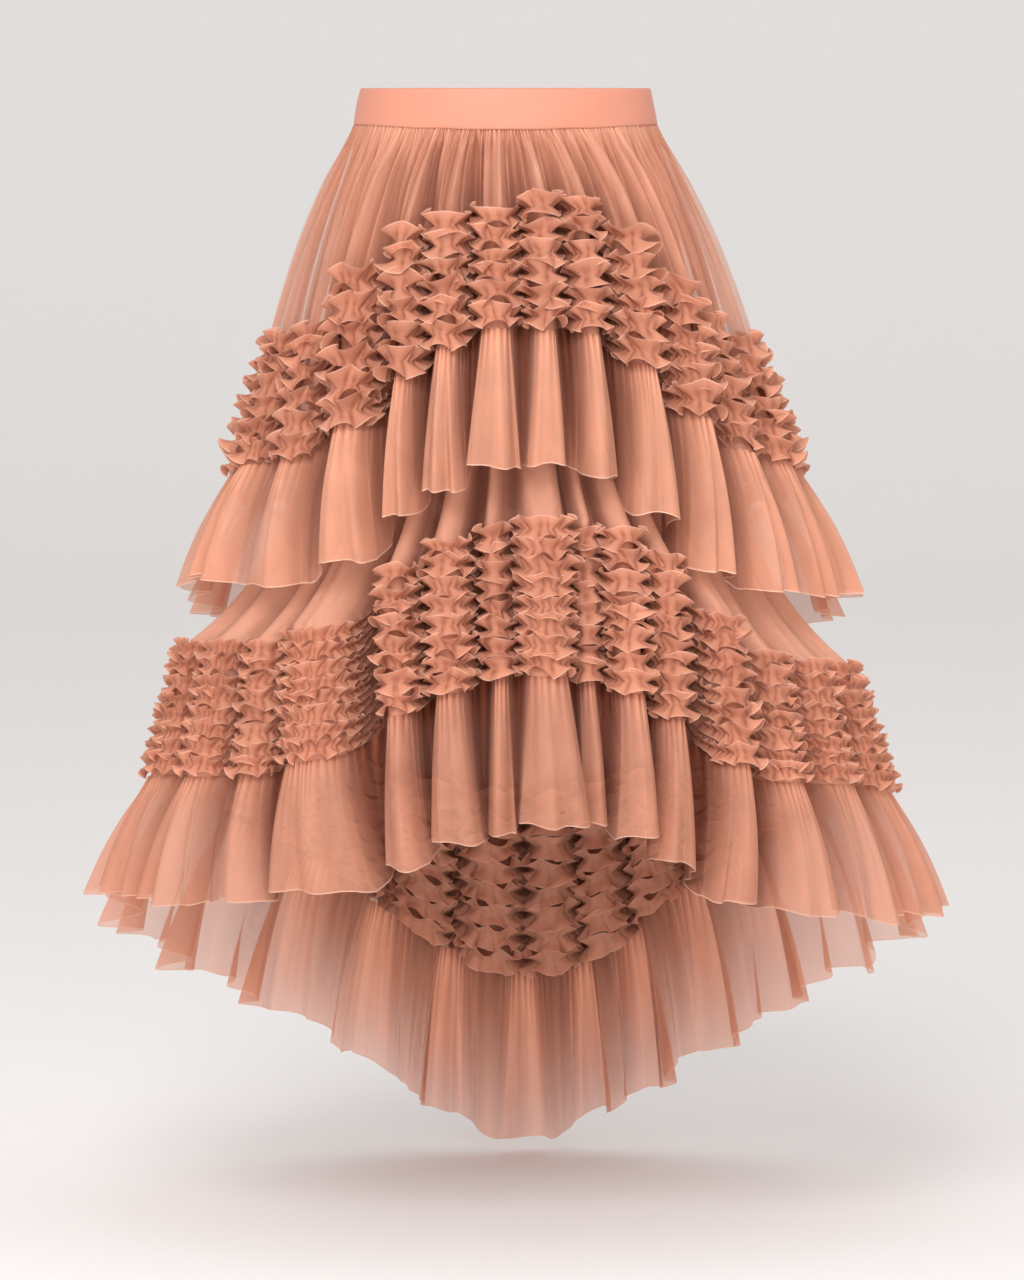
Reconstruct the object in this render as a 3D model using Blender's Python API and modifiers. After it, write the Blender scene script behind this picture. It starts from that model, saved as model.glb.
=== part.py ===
# Tiered ruffle skirt with a high-low hem.
#
# One pull-on skirt of sheer cloth: a satin waistband over elastic, an overskirt and a longer
# underskirt gathered into it.  Each of the two carries a band of ruffle strips, gathered on their
# centre lines, and ends in a plain gathered flounce.  All tiers are short in front and long behind.
#
# Frame: metres, +Z up, the wearer faces -Y.  The origin is the middle of the waist opening, level
# with the top of the waistband.

import math

import bpy
import bmesh
from mathutils import Vector

# ---------------------------------------------------------------- driving sizes (metres, degrees)
CLOTH = 0.0012            # wall of the sheer cloth, its gathers included
BAND_WALL = 0.0030        # satin, folded over the elastic
SEAM_GAP = 0.0009         # below the waistband, down to the panels sewn into it
SEAM_DROP = 0.0016        # from a panel down to the flounce sewn to its foot
BAND_POINTS = 32          # points round the waistband
UPPER_ROWS = 6            # ruffle strips on the overskirt
LOWER_ROWS = 8            # ruffle strips on the underskirt
STRIP_LIFT = 0.0040       # centre line of a strip, off the middle of the panel it is sewn on
WING_RISE = 0.40          # wing height, as a share of the distance between two rows
WING_OUT = 0.0085         # how far a wing stands out beyond its centre line
UNDER_INSET = {"upper_top": 0.032, "upper_foot": 0.045}   # underskirt, inside the overskirt
UNDER_VALLEY = 0.35       # folds of that hidden part, as a share of their full depth lower down
UPPER_HEM_FOLD = 0.85     # folds at the upper hem, as a share of those above it

# Levels from the waist down.  half_width, front and back say how far the fold crests stand from
# the axis to the sides, in front and behind; shift is how far the level's middle lies towards +X.
LEVELS = {
    #              half_width  front   back   shift
    "band_top":    (0.1300,   0.0980, 0.0980, 0.000),
    "band_foot":   (0.1365,   0.1010, 0.1030, 0.000),
    "upper_top":   (0.2120,   0.1300, 0.2000, 0.005),
    "upper_foot":  (0.2540,   0.1680, 0.2450, 0.009),
    "upper_hem":   (0.2990,   0.2250, 0.3000, 0.010),
    "lower_top":   (0.3010,   0.2180, 0.2900, 0.011),
    "lower_foot":  (0.3330,   0.2550, 0.3300, 0.012),
    "lower_hem":   (0.3800,   0.3000, 0.3700, 0.013),
}

# How far each level lies below the top of the waistband, by angle round the body: 0 is the centre
# front, positive towards +X, 180 the centre back.
DROP_COLUMNS = ("band_foot", "upper_top", "upper_foot", "upper_hem",
                "lower_top", "lower_foot", "lower_hem")
DROPS = (
    # angle  band   up.top up.foot up.hem low.top low.foot low.hem
    (-180, 0.032, 0.300, 0.460, 0.600, 0.660, 0.840, 1.005),
    (-165, 0.032, 0.295, 0.450, 0.590, 0.650, 0.810, 0.970),
    (-150, 0.032, 0.285, 0.435, 0.565, 0.630, 0.750, 0.900),
    (-120, 0.032, 0.255, 0.395, 0.505, 0.570, 0.670, 0.810),
    (-90,  0.032, 0.222, 0.345, 0.445, 0.505, 0.620, 0.725),
    (-60,  0.033, 0.213, 0.330, 0.437, 0.490, 0.608, 0.715),
    (-45,  0.034, 0.175, 0.315, 0.433, 0.478, 0.600, 0.710),
    (-35,  0.035, 0.145, 0.290, 0.425, 0.463, 0.588, 0.703),
    (-25,  0.035, 0.117, 0.255, 0.390, 0.430, 0.560, 0.690),
    (-15,  0.036, 0.103, 0.228, 0.350, 0.398, 0.532, 0.667),
    (-5,   0.036, 0.098, 0.210, 0.327, 0.380, 0.512, 0.642),
    (5,    0.036, 0.097, 0.210, 0.323, 0.371, 0.507, 0.634),
    (15,   0.036, 0.099, 0.214, 0.332, 0.378, 0.517, 0.643),
    (25,   0.035, 0.107, 0.235, 0.372, 0.402, 0.545, 0.685),
    (35,   0.035, 0.135, 0.268, 0.412, 0.448, 0.583, 0.713),
    (45,   0.034, 0.166, 0.300, 0.432, 0.488, 0.606, 0.722),
    (60,   0.033, 0.210, 0.325, 0.445, 0.508, 0.615, 0.730),
    (90,   0.032, 0.222, 0.345, 0.455, 0.523, 0.633, 0.743),
    (120,  0.032, 0.255, 0.395, 0.510, 0.580, 0.670, 0.815),
    (150,  0.032, 0.285, 0.435, 0.565, 0.630, 0.755, 0.915),
    (165,  0.032, 0.295, 0.450, 0.590, 0.650, 0.820, 0.975),
)

# Fold columns of each skirt, in order round the body.  top, foot and hem are the angle of the
# crest's middle at those three levels, half its half-width, valley the depth of the fold after it.
UPPER_FOLDS = (
    # top  foot   hem  half  valley
    (-42, -36.5, -31, 4.0, 0.017),
    (-27, -24.0, -21, 3.2, 0.016),
    (-16, -14.5, -13, 2.9, 0.017),
    (-4,   -4.0,  -4, 3.0, 0.014),
    (7,     6.0,   5, 2.7, 0.014),
    (18,   16.0,  15, 2.9, 0.016),
    (30,   27.5,  25, 3.4, 0.018),
    (45,   41.0,  37, 4.0, 0.020),
    (74,   70.0,  68, 9.0, 0.022),
    (110, 108.0, 106, 9.5, 0.022),
    (145, 144.0, 143, 9.5, 0.022),
    (180, 180.0, 180, 9.5, 0.022),
    (215, 216.0, 217, 9.5, 0.022),
    (250, 252.0, 254, 9.5, 0.022),
    (286, 290.0, 292, 9.0, 0.021),
)
LOWER_FOLDS = (
    # top  foot   hem  half  valley
    (-37, -33.5, -28, 4.4, 0.020),
    (-22, -19.5, -16, 2.7, 0.017),
    (-13, -11.0,  -9, 2.4, 0.017),
    (-5,   -3.0,  -2, 2.2, 0.014),
    (4,     4.5,   5, 2.6, 0.018),
    (16,   15.5,  14, 2.8, 0.018),
    (27,   25.0,  22, 2.8, 0.020),
    (38,   36.0,  31, 3.4, 0.022),
    (72,   70.0,  67, 9.5, 0.024),
    (110, 109.0, 107, 9.5, 0.024),
    (146, 145.0, 144, 8.0, 0.024),
    (172, 171.0, 171, 6.5, 0.022),
    (196, 196.0, 196, 6.5, 0.022),
    (230, 231.0, 232, 9.0, 0.024),
    (274, 277.0, 280, 10.0, 0.024),
)

PEACH = (0.695, 0.335, 0.215, 1.0)
SATIN = (0.780, 0.430, 0.310, 1.0)


# ---------------------------------------------------------------- geometry
def drop(level, angle):
    """Drop of a level below the waist at an angle, by a smooth curve through the table."""
    if level == "band_top":
        return 0.0
    col = 1 + DROP_COLUMNS.index(level)
    rows = DROPS
    n = len(rows)
    a = (angle + 180.0) % 360.0 - 180.0
    i = max(k for k in range(n) if rows[k][0] <= a + 1e-9)

    def knot(k):
        turns, kk = divmod(k, n)
        return rows[kk][0] + 360.0 * turns, rows[kk][col]

    (x0, y0), (x1, y1), (x2, y2), (x3, y3) = (knot(i + k) for k in (-1, 0, 1, 2))
    h = x2 - x1
    m1 = (y2 - y0) / (x2 - x0) * h
    m2 = (y3 - y1) / (x3 - x1) * h
    t = (a - x1) / h
    return ((2 * t**3 - 3 * t**2 + 1) * y1 + (t**3 - 2 * t**2 + t) * m1
            + (-2 * t**3 + 3 * t**2) * y2 + (t**3 - t**2) * m2)


def on_level(level, angle, inward=0.0, down=0.0):
    """A point on a level at an angle, moved in towards the axis and down."""
    half_width, front, back, shift = LEVELS[level]
    t = math.radians(angle)
    depth = front if math.cos(t) > 0 else back
    p = Vector((shift + half_width * math.sin(t), -depth * math.cos(t), 0.0))
    p -= inward * Vector((math.sin(t), -math.cos(t), 0.0))
    p.z = -drop(level, angle) - down
    return p


def fold_ring(level, folds, column, share=1.0, inset=0.0, down=0.0):
    """Ring of a folded skirt: for each fold two points on its crest and one in the valley."""
    ring = []
    n = len(folds)
    for k, row in enumerate(folds):
        mid, half, valley = row[column], row[3], row[4]
        after = folds[(k + 1) % n]
        next_mid = after[column] + (360.0 if k == n - 1 else 0.0)
        low = (mid + half + next_mid - after[3]) / 2.0
        ring.append(on_level(level, mid - half, inset, down))
        ring.append(on_level(level, mid + half, inset, down))
        ring.append(on_level(level, low, inset + share * valley, down))
    return ring


def between(ring_a, ring_b, f):
    return [a.lerp(b, f) for a, b in zip(ring_a, ring_b)]


def moved_out(ring, lift):
    """The ring as a parallel outline, lift further out, with mitred corners."""
    out = []
    n = len(ring)
    for i in range(n):
        before = (ring[i] - ring[i - 1]).to_2d().normalized()
        after = (ring[(i + 1) % n] - ring[i]).to_2d().normalized()
        na = Vector((before.y, -before.x))
        nb = Vector((after.y, -after.x))
        mitre = (na + nb).normalized()
        step = lift / max(0.35, mitre.dot(na))
        out.append(ring[i] + Vector((mitre.x * step, mitre.y * step, 0.0)))
    return out


def flared(ring, out, rise):
    """The ring moved straight out from the axis and up."""
    moved = []
    for p in ring:
        d = Vector((p.x, p.y, 0.0)).normalized()
        moved.append(p + d * out + Vector((0.0, 0.0, rise)))
    return moved


def strip_rings(ring_a, ring_b, row, rows):
    """Upper edge, centre line and lower edge of one ruffle strip between two rings of a panel."""
    centre = (row + 0.5) / rows
    rise = WING_RISE / rows
    rings = []
    for f, out in ((centre - rise, WING_OUT), (centre, 0.0), (centre + rise, WING_OUT)):
        line = moved_out(between(ring_a, ring_b, f), STRIP_LIFT)
        rings.append(flared(line, out, 0.0) if out else line)
    return rings


# ---------------------------------------------------------------- making the pieces
def start():
    for ob in list(bpy.data.objects):
        bpy.data.objects.remove(ob, do_unlink=True)
    skirt = bpy.data.collections.new("tiered_ruffle_skirt")
    bpy.context.scene.collection.children.link(skirt)
    return skirt


def cloth_material(name, colour, roughness):
    mat = bpy.data.materials.new(name)
    mat.use_nodes = True
    bsdf = mat.node_tree.nodes["Principled BSDF"]
    bsdf.inputs["Base Color"].default_value = colour
    bsdf.inputs["Roughness"].default_value = roughness
    bsdf.inputs["Metallic"].default_value = 0.0
    return mat


def shell(skirt, name, rings, wall, colour, roughness):
    """An open surface through the rings, top to bottom, with a wall by Solidify."""
    bm = bmesh.new()
    loops = [[bm.verts.new(p) for p in ring] for ring in rings]
    n = len(loops[0])
    for upper, lower in zip(loops, loops[1:]):
        for i in range(n):
            j = (i + 1) % n
            bm.faces.new((upper[i], lower[i], lower[j], upper[j]))
    bmesh.ops.triangulate(bm, faces=bm.faces[:], quad_method="SHORT_EDGE")
    mesh = bpy.data.meshes.new(name)
    bm.to_mesh(mesh)
    bm.free()
    ob = bpy.data.objects.new(name, mesh)
    skirt.objects.link(ob)
    ob.data.materials.append(cloth_material(name, colour, roughness))
    wall_mod = ob.modifiers.new("wall", "SOLIDIFY")
    wall_mod.thickness = wall
    wall_mod.offset = 0.0
    wall_mod.use_even_offset = True
    return ob


def plain_ring(level, points, inset=0.0, down=0.0):
    return [on_level(level, 360.0 * i / points, inset, down) for i in range(points)]


def build():
    skirt = start()
    half_cloth = CLOTH / 2.0

    # waistband: its outer face is the stated size
    shell(skirt, "waistband",
          [plain_ring("band_top", BAND_POINTS, BAND_WALL / 2.0),
           plain_ring("band_foot", BAND_POINTS, BAND_WALL / 2.0)],
          BAND_WALL, SATIN, 0.42)

    # overskirt: the yoke panel, its ruffle strips and its flounce
    waist = fold_ring("band_foot", UPPER_FOLDS, 0, 0.0, half_cloth + 0.0002, SEAM_GAP)
    top = fold_ring("upper_top", UPPER_FOLDS, 0)
    foot = fold_ring("upper_foot", UPPER_FOLDS, 1)
    hem = fold_ring("upper_hem", UPPER_FOLDS, 2, UPPER_HEM_FOLD)
    shell(skirt, "upper_panel", [waist, top, foot], CLOTH, PEACH, 0.8)
    for row in range(UPPER_ROWS):
        shell(skirt, "upper_ruffle_%d" % (row + 1), strip_rings(top, foot, row, UPPER_ROWS),
              CLOTH, PEACH, 0.8)
    seam = flared(foot, 0.0, -SEAM_DROP)
    shell(skirt, "upper_flounce", [seam, hem], CLOTH, PEACH, 0.8)

    # underskirt, inside the overskirt down to the upper hem, then out to its own ruffle band
    waist = fold_ring("band_foot", UPPER_FOLDS, 0, 0.0, 0.0028, SEAM_GAP)
    inner = [fold_ring(level, LOWER_FOLDS, 0, UNDER_VALLEY, inset)
             for level, inset in UNDER_INSET.items()]
    top = fold_ring("lower_top", LOWER_FOLDS, 0)
    foot = fold_ring("lower_foot", LOWER_FOLDS, 1)
    hem = fold_ring("lower_hem", LOWER_FOLDS, 2)
    shell(skirt, "lower_panel", [waist, *inner, top, foot], CLOTH, PEACH, 0.8)
    for row in range(LOWER_ROWS):
        shell(skirt, "lower_ruffle_%d" % (row + 1), strip_rings(top, foot, row, LOWER_ROWS),
              CLOTH, PEACH, 0.8)
    seam = flared(foot, 0.0, -SEAM_DROP)
    shell(skirt, "lower_flounce", [seam, hem], CLOTH, PEACH, 0.8)


build()
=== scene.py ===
# Tiered ruffle skirt: the looks.  Every cloth piece is a thin single sheet on its solid's form,
# worked out from the same levels and fold columns as the model, with its gathers, flutes and hems.
import math

import bpy
import numpy as np
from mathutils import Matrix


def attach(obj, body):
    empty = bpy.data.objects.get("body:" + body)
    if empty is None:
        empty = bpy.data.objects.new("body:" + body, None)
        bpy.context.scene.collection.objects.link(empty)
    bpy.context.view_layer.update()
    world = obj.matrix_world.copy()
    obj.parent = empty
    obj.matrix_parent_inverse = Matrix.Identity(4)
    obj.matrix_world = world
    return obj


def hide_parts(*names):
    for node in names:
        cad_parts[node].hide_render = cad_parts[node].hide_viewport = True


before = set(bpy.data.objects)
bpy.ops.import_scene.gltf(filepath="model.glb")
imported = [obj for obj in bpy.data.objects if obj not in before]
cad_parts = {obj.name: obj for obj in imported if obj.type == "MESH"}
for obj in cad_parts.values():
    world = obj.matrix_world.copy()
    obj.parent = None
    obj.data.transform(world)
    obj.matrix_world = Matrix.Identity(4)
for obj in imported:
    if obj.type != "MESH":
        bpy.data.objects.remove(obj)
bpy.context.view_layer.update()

TAU = 2.0 * math.pi

# ------------------------------------------------------------------ sizes shared with the model
LEVELS = {
    #              half_width  front   back   shift
    "band_top":    (0.1300,   0.0980, 0.0980, 0.000),
    "band_foot":   (0.1365,   0.1010, 0.1030, 0.000),
    "upper_top":   (0.2120,   0.1300, 0.2000, 0.005),
    "upper_foot":  (0.2540,   0.1680, 0.2450, 0.009),
    "upper_hem":   (0.2990,   0.2250, 0.3000, 0.010),
    "lower_top":   (0.3010,   0.2180, 0.2900, 0.011),
    "lower_foot":  (0.3330,   0.2550, 0.3300, 0.012),
    "lower_hem":   (0.3800,   0.3000, 0.3700, 0.013),
}
DROP_COLUMNS = ("band_foot", "upper_top", "upper_foot", "upper_hem",
                "lower_top", "lower_foot", "lower_hem")
DROPS = (
    # angle  band   up.top up.foot up.hem low.top low.foot low.hem
    (-180, 0.032, 0.300, 0.460, 0.600, 0.660, 0.840, 1.005),
    (-165, 0.032, 0.295, 0.450, 0.590, 0.650, 0.810, 0.970),
    (-150, 0.032, 0.285, 0.435, 0.565, 0.630, 0.750, 0.900),
    (-120, 0.032, 0.255, 0.395, 0.505, 0.570, 0.670, 0.810),
    (-90,  0.032, 0.222, 0.345, 0.445, 0.505, 0.620, 0.725),
    (-60,  0.033, 0.213, 0.330, 0.437, 0.490, 0.608, 0.715),
    (-45,  0.034, 0.175, 0.315, 0.433, 0.478, 0.600, 0.710),
    (-35,  0.035, 0.145, 0.290, 0.425, 0.463, 0.588, 0.703),
    (-25,  0.035, 0.117, 0.255, 0.390, 0.430, 0.560, 0.690),
    (-15,  0.036, 0.103, 0.228, 0.350, 0.398, 0.532, 0.667),
    (-5,   0.036, 0.098, 0.210, 0.327, 0.380, 0.512, 0.642),
    (5,    0.036, 0.097, 0.210, 0.323, 0.371, 0.507, 0.634),
    (15,   0.036, 0.099, 0.214, 0.332, 0.378, 0.517, 0.643),
    (25,   0.035, 0.107, 0.235, 0.372, 0.402, 0.545, 0.685),
    (35,   0.035, 0.135, 0.268, 0.412, 0.448, 0.583, 0.713),
    (45,   0.034, 0.166, 0.300, 0.432, 0.488, 0.606, 0.722),
    (60,   0.033, 0.210, 0.325, 0.445, 0.508, 0.615, 0.730),
    (90,   0.032, 0.222, 0.345, 0.455, 0.523, 0.633, 0.743),
    (120,  0.032, 0.255, 0.395, 0.510, 0.580, 0.670, 0.815),
    (150,  0.032, 0.285, 0.435, 0.565, 0.630, 0.755, 0.915),
    (165,  0.032, 0.295, 0.450, 0.590, 0.650, 0.820, 0.975),
)

# Fold columns, in order round the body: the angle of the crest's middle at the top and foot of the
# ruffle band and at the hem, the crest's half-width in degrees, the depth of the recess after it,
# how far the crest stands out (m), and how level its rows are (0 level, 1 following the slope).
UPPER_FOLDS = (
    # top    foot    hem    half recess  out    slope
    (-42,   -36.5,  -31,    5.6, 0.034,  0.004, 0.30),
    (-27,   -24.0,  -21,    3.2, 0.036,  0.000, 0.25),
    (-16,   -14.5,  -13,    3.9, 0.030,  0.001, 0.25),
    (-4,     -4.0,   -4,    4.7, 0.026,  0.000, 0.25),
    (7,       6.0,    5,    3.3, 0.030,  0.005, 0.25),
    (18,     16.0,   15,    3.4, 0.036, -0.002, 0.25),
    (30,     27.5,   25,    4.6, 0.036,  0.003, 0.25),
    (45,     41.0,   37,    5.0, 0.026,  0.003, 0.30),
    (60,     57.0,   54,    5.6, 0.014, -0.004, 0.60),
    (76,     73.0,   71,    6.4, 0.012,  0.002, 0.80),
    (94,     92.0,   90,    7.0, 0.014,  0.003, 0.80),
    (113,   111.0,  109,    6.6, 0.022,  0.000, 0.70),
    (130,   129.0,  128,    5.8, 0.028,  0.002, 0.60),
    (147,   146.0,  145,    5.6, 0.030, -0.002, 0.60),
    (163,   163.0,  163,    5.6, 0.030,  0.003, 0.60),
    (179,   179.0,  179,    5.4, 0.030,  0.000, 0.60),
    (195,   195.0,  196,    5.6, 0.030,  0.003, 0.60),
    (212,   213.0,  214,    5.8, 0.028, -0.002, 0.60),
    (229,   230.0,  232,    6.0, 0.024,  0.002, 0.60),
    (247,   249.0,  251,    6.6, 0.016,  0.000, 0.70),
    (266,   268.0,  270,    7.0, 0.013,  0.003, 0.80),
    (284,   287.0,  290,    6.4, 0.013,  0.001, 0.80),
    (301,   305.0,  310,    5.2, 0.020, -0.004, 0.60),
)
LOWER_FOLDS = (
    # top    foot    hem    half recess  out    slope
    (-37,   -33.6,  -28,    7.6, 0.036,  0.004, 0.35),
    (-21.5, -19.0,  -15.5,  2.8, 0.036,  0.001, 0.25),
    (-12.5, -10.8,   -8.5,  3.3, 0.032,  0.002, 0.25),
    (-4.8,   -3.0,   -2.6,  1.9, 0.022, -0.016, 0.25),
    (4.4,     4.4,    4.6,  4.4, 0.026,  0.007, 0.25),
    (12.0,   11.2,   10.5,  1.8, 0.022, -0.018, 0.25),
    (18.0,   17.6,   16.0,  3.0, 0.030,  0.004, 0.25),
    (26.4,   25.2,   21.8,  3.1, 0.034, -0.006, 0.25),
    (37.0,   35.8,   30.5,  3.6, 0.038,  0.005, 0.30),
    (49.0,   48.0,   45.0,  4.8, 0.014, -0.006, 0.60),
    (62.0,   61.0,   59.0,  5.2, 0.012,  0.001, 0.80),
    (77.0,   76.0,   75.0,  5.8, 0.012,  0.002, 0.80),
    (93.0,   92.0,   91.0,  6.0, 0.014,  0.003, 0.80),
    (109.0, 108.0,  108.0,  5.8, 0.022,  0.000, 0.70),
    (124.0, 123.0,  123.0,  4.6, 0.030,  0.002, 0.60),
    (137.5, 137.0,  137.0,  3.8, 0.034, -0.002, 0.60),
    (149.0, 149.0,  149.0,  3.0, 0.036,  0.003, 0.60),
    (160.0, 160.0,  160.0,  2.6, 0.036,  0.001, 0.60),
    (169.0, 169.0,  169.0,  2.4, 0.036,  0.002, 0.60),
    (179.0, 179.0,  179.0,  2.9, 0.036,  0.001, 0.60),
    (191.5, 191.5,  191.5,  3.1, 0.036,  0.003, 0.60),
    (204.0, 204.0,  204.0,  3.7, 0.034,  0.000, 0.60),
    (218.0, 218.5,  219.0,  4.4, 0.030,  0.002, 0.60),
    (233.0, 234.0,  235.0,  5.6, 0.024,  0.001, 0.70),
    (249.0, 250.5,  252.0,  6.0, 0.016,  0.002, 0.80),
    (265.0, 267.0,  269.0,  6.0, 0.013,  0.003, 0.80),
    (281.0, 283.5,  286.0,  6.0, 0.012,  0.001, 0.80),
    (297.0, 299.5,  303.0,  5.6, 0.014,  0.001, 0.80),
    (310.0, 312.5,  317.5,  3.6, 0.026, -0.006, 0.50),
)


# ------------------------------------------------------------------ curves and folds
def smooth01(x):
    x = np.clip(x, 0.0, 1.0)
    return x * x * (3 - 2 * x)


def cubic_table(angle, column):
    """A smooth periodic curve through one column of DROPS, at an array of angles."""
    xs = np.array([r[0] for r in DROPS], float)
    ys = np.array([r[column] for r in DROPS], float)
    xs = np.concatenate([xs[-2:] - 360.0, xs, xs[:3] + 360.0])
    ys = np.concatenate([ys[-2:], ys, ys[:3]])
    m = np.zeros_like(ys)
    m[1:-1] = (ys[2:] - ys[:-2]) / (xs[2:] - xs[:-2])
    a = (angle + 180.0) % 360.0 - 180.0
    i = np.clip(np.searchsorted(xs, a, side="right") - 1, 1, len(xs) - 3)
    h = xs[i + 1] - xs[i]
    t = (a - xs[i]) / h
    return ((2 * t**3 - 3 * t**2 + 1) * ys[i] + (t**3 - 2 * t**2 + t) * m[i] * h
            + (-2 * t**3 + 3 * t**2) * ys[i + 1] + (t**3 - t**2) * m[i + 1] * h)


def drop(level, angle):
    if level == "band_top":
        return np.zeros_like(angle)
    return cubic_table(angle, 1 + DROP_COLUMNS.index(level))


class Folds:
    """The fold columns of one skirt, as functions of u: column k runs from u=k to u=k+1."""
    EDGE = 0.27
    LIP = 0.34                # how much a crest rounds away before it turns into the recess
    FLARE = (0.92, 0.84, 1.34)  # crest width at the top of the ruffles, at their foot and at the hem

    def __init__(self, rows, narrow, deeper):
        rows = [(*r[:3], r[3] * narrow, r[4] * deeper, *r[5:]) for r in rows]
        self.rows = rows
        k = self.k = len(rows)
        us, th, flat, out = [], [], [], []
        for i in range(k + 1):
            r = rows[i % k]
            before = rows[(i - 1) % k]
            turn = 360.0 * (i // k)
            turn_b = 360.0 * ((i - 1) // k)
            left = [r[c] - r[3] * self.FLARE[c] + turn for c in range(3)]
            right_b = [before[c] + before[3] * self.FLARE[c] + turn_b for c in range(3)]
            low = [(a + b) / 2.0 for a, b in zip(left, right_b)]
            us.append(float(i)); th.append(low)
            fl = [r[c] - r[6] * r[3] + turn for c in range(3)]
            fb = [before[c] + before[6] * before[3] + turn_b for c in range(3)]
            flat.append([(a + b) / 2.0 for a, b in zip(fl, fb)])
            out.append((r[5] + before[5]) / 2.0)
            if i == k:
                break
            for e, s in ((self.EDGE, -1), (1.0 - self.EDGE, 1)):
                us.append(i + e)
                th.append([r[c] + s * r[3] * self.FLARE[c] + turn for c in range(3)])
                flat.append([r[c] + s * r[6] * r[3] + turn for c in range(3)])
                out.append(r[5])
        self.us, self.th = np.array(us), np.array(th)
        self.flat, self.outs = np.array(flat), np.array(out)
        self.depth_after = np.array([r[4] for r in rows])
        self.half = np.array([r[3] for r in rows])

    def _at(self, table, u, c):
        cols = [np.interp(u, self.us, table[:, j]) for j in range(3)]
        c = np.clip(c, 0.0, 2.0)
        return np.where(c <= 1.0, cols[0] + (cols[1] - cols[0]) * c,
                        cols[1] + (cols[2] - cols[1]) * (c - 1.0))

    def angle(self, u, c):
        return self._at(self.th, u, c)

    def level_angle(self, u, c):
        return self._at(self.flat, u, c)

    def out(self, u):
        return np.interp(u, self.us, self.outs)

    def fold(self, u):
        """How far the cloth lies inside its crest circle, and how much painted shade it gets (0..1): a little towards
        a crest's sides, and most in a recess.
        """
        k = np.floor(u).astype(int) % self.k
        x = u - np.floor(u)
        after = self.depth_after[k]
        before = self.depth_after[(k - 1) % self.k]
        e = self.EDGE
        side = (x - 0.5) / (0.5 - e)
        near = np.where(x < 0.5, before, after)
        lip = self.LIP * near
        crest = lip * np.abs(side) ** 2.3
        q = np.where(x < e, 0.5 + x / (2 * e), (x - (1 - e)) / (2 * e))
        recess_and_shade = 1.0 - np.abs(2 * q - 1) ** 2.4
        recess = lip + (near - lip) * recess_and_shade
        inside = (x > e) & (x < 1 - e)
        # painted shade: a little towards a crest's sides, and darker the further into a recess
        shade = np.where(inside, 0.22 * np.abs(side) ** 3, 0.22 + 0.78 * recess_and_shade)
        return np.where(inside, crest, recess), shade * np.clip(near / 0.030, 0, 1) ** 1.3

    def fronting(self, u):
        """1 where the folds hang in the short front, 0 round the back, by angle."""
        a = np.abs((self.angle(u, 1.0) + 180.0) % 360.0 - 180.0)
        return 1.0 - smooth01((a - 62.0) / 45.0)


def backing(folds, u):
    """1 round the long back, 0 in front of the side seams."""
    a = np.abs((folds.angle(u, 1.0) + 180.0) % 360.0 - 180.0)
    return smooth01((a - 112.0) / 40.0)


UPPER, LOWER = Folds(UPPER_FOLDS, 0.74, 1.22), Folds(LOWER_FOLDS, 0.80, 1.22)


def noise1(x, seed, octaves=((1.0, 1.0),)):
    """Smooth seeded noise along a line, about -1 to 1."""
    total = np.zeros_like(x, dtype=float)
    for scale, weight in octaves:
        rng = np.random.default_rng(seed)
        v = rng.uniform(-1, 1, 4096)
        y = x * scale
        i = np.floor(y).astype(int)
        f = y - i
        f = f * f * (3 - 2 * f)
        total += weight * (v[i % 4096] * (1 - f) + v[(i + 1) % 4096] * f)
        seed += 17
    return total


def ring(folds, u, a, b, f, c, share, inset=0.0, out=0.0, down=0.0):
    """Points on the way from level a to level b, in fold phase c, with share of the fold depth."""
    th = folds.angle(u, c)
    lv = folds.level_angle(u, c)
    A, B = LEVELS[a], LEVELS[b]
    half, front, back, shift = (A[i] + (B[i] - A[i]) * f for i in range(4))
    t = np.radians(th)
    s, co = np.sin(t), np.cos(t)
    depth = np.where(co > 0, front, back)
    fold, _ = folds.fold(u)
    move = out - inset + share * (folds.out(u) - fold)
    x = shift + (half + move) * s
    y = -(depth + move) * co
    z = -(drop(a, lv) * (1 - f) + drop(b, lv) * f) - down
    return np.stack([x, y, z], axis=-1)


def even_u(folds, n, *args, oversample=12):
    """n values of u that are evenly spaced along a ring, and its length."""
    u = np.linspace(0.0, folds.k, n * oversample + 1)
    p = ring(folds, u, *args)
    s = np.concatenate([[0.0], np.cumsum(np.linalg.norm(np.diff(p, axis=0), axis=1))])
    want = np.linspace(0.0, s[-1], n + 1)[:-1]
    return np.interp(want, s, u), s[-1]


def jittered_phase(length, wave, seed, spread=0.3):
    """Phase (in waves) along a closed line, with waves of uneven length."""
    rng = np.random.default_rng(seed)
    n = max(4, int(round(length / wave)))
    w = rng.uniform(1 - spread, 1 + spread, n)
    ends = np.concatenate([[0.0], np.cumsum(w)])
    return ends / ends[-1] * length, n


def noise3(p, scale, seed):
    """Smooth seeded noise in space, 0 to 1."""
    q = p * scale
    i = np.floor(q).astype(np.int64)
    f = q - i
    f = f * f * (3 - 2 * f)
    table = np.random.default_rng(seed).uniform(0, 1, 4096)
    total = np.zeros(p.shape[:-1])
    for dx in (0, 1):
        for dy in (0, 1):
            for dz in (0, 1):
                h = ((i[..., 0] + dx) * 1619 + (i[..., 1] + dy) * 31337 + (i[..., 2] + dz) * 6971) % 4096
                w = (np.where(dx, f[..., 0], 1 - f[..., 0]) * np.where(dy, f[..., 1], 1 - f[..., 1])
                     * np.where(dz, f[..., 2], 1 - f[..., 2]))
                total += table[h] * w
    return total


def tone_of(P):
    """Uneven dye and density of the cloth: broad clouds with finer streaks down the cloth."""
    stretch = P * np.array([1.0, 1.0, 0.35])
    return 0.55 * noise3(P, 24.0, 5) + 0.45 * noise3(stretch, 130.0, 6)


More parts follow.
